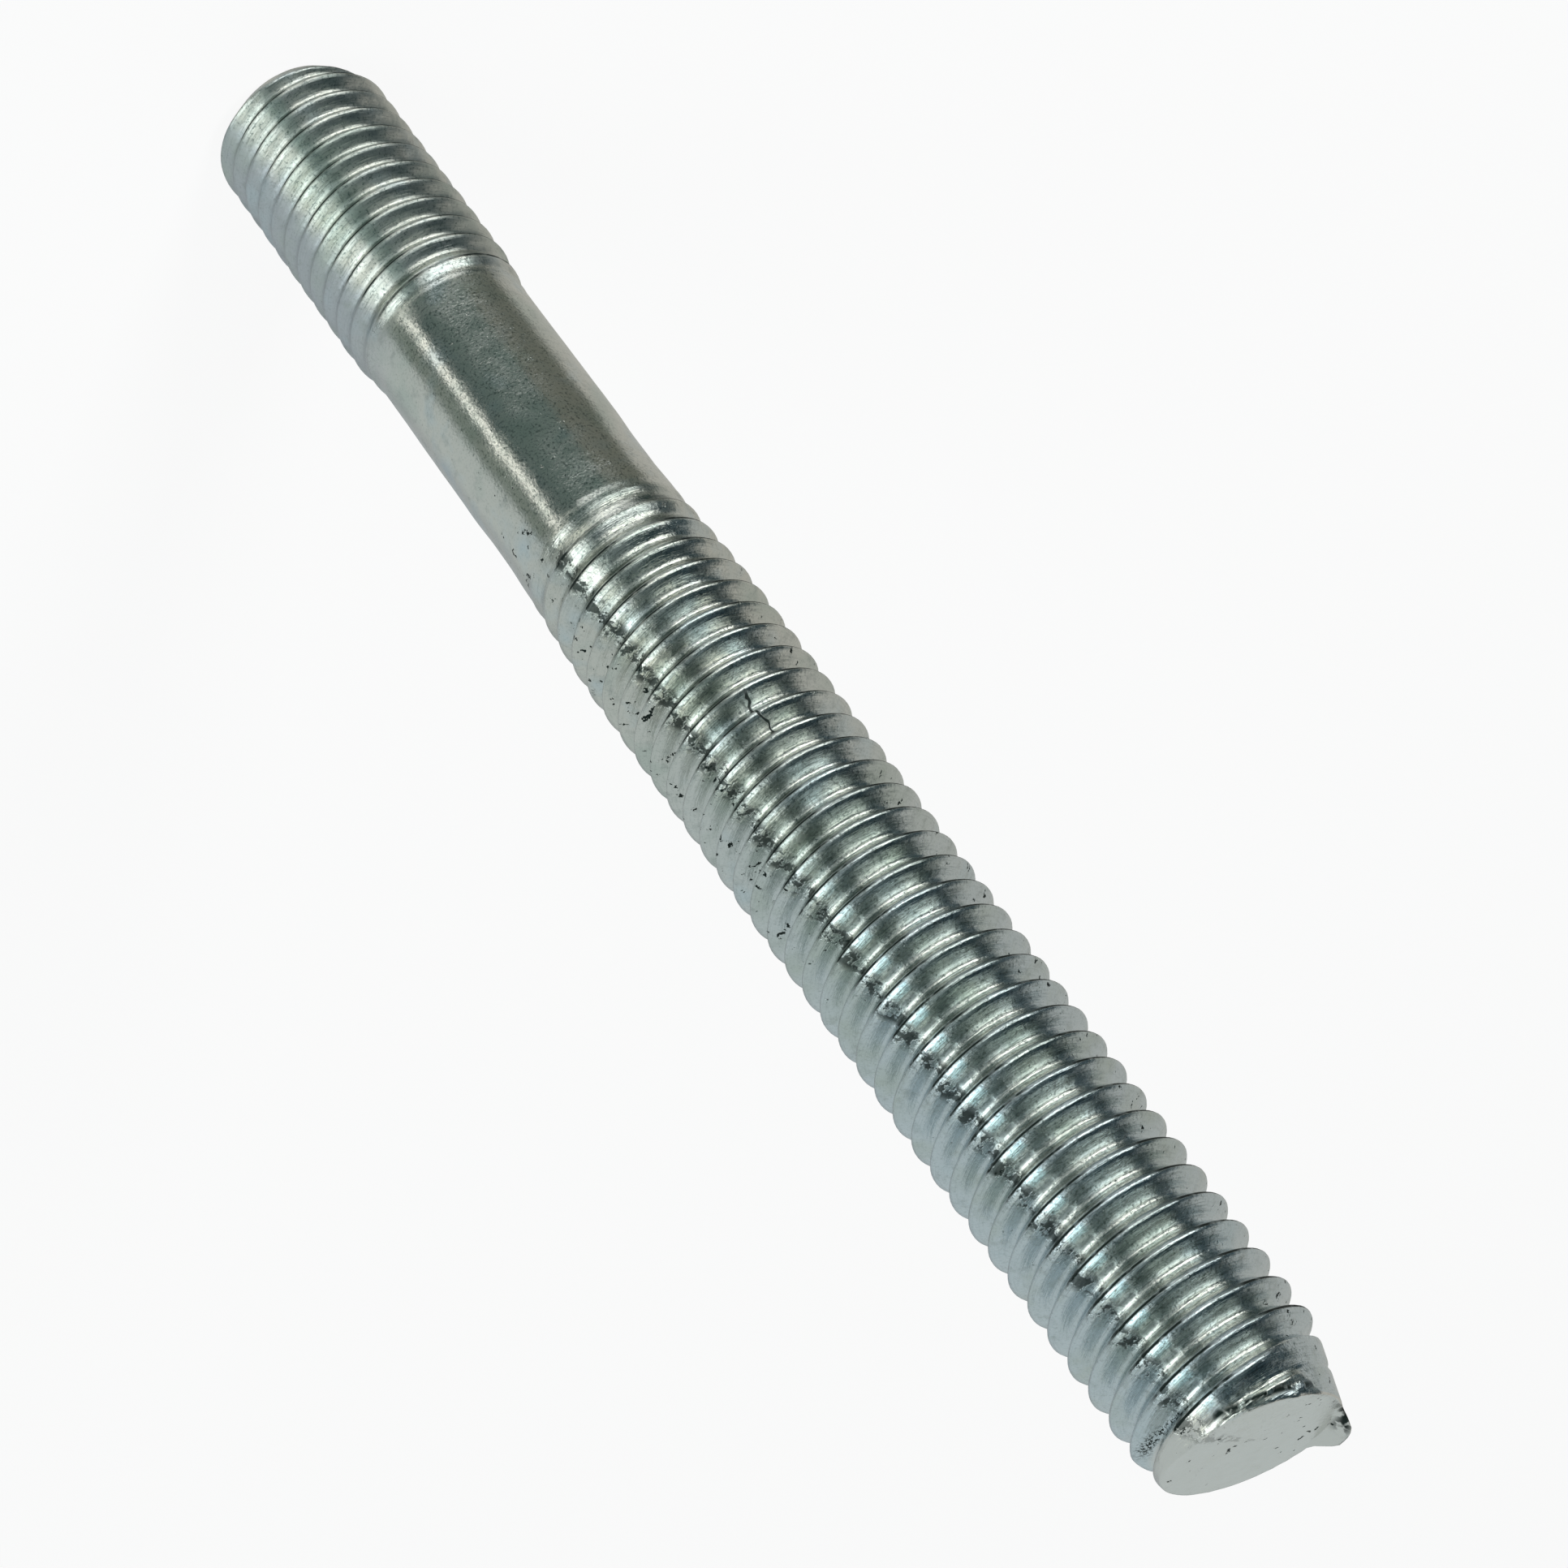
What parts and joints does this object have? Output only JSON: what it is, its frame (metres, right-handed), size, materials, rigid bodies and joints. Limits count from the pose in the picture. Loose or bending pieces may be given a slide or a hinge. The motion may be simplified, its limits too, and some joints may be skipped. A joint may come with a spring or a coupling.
{
  "type": "injector stud",
  "caption": "Double-ended steel stud with a short tap end, a plain reduced waist and a long nut end with a slanting cropped face.",
  "frame": {"origin": "centre of the flat face at the tap end, on the axis of the stud", "axes": "+Z along the shank from the tap end to the nut end; the cropped nut-end face slopes down towards +X"},
  "size_m": [0.0078, 0.0078, 0.0738],
  "materials": {
    "zinc_plated_steel": "bright zinc plate, rolled threads"
  },
  "bodies": {
    "root": {"stud": "zinc_plated_steel"}
  },
  "joints": []
}
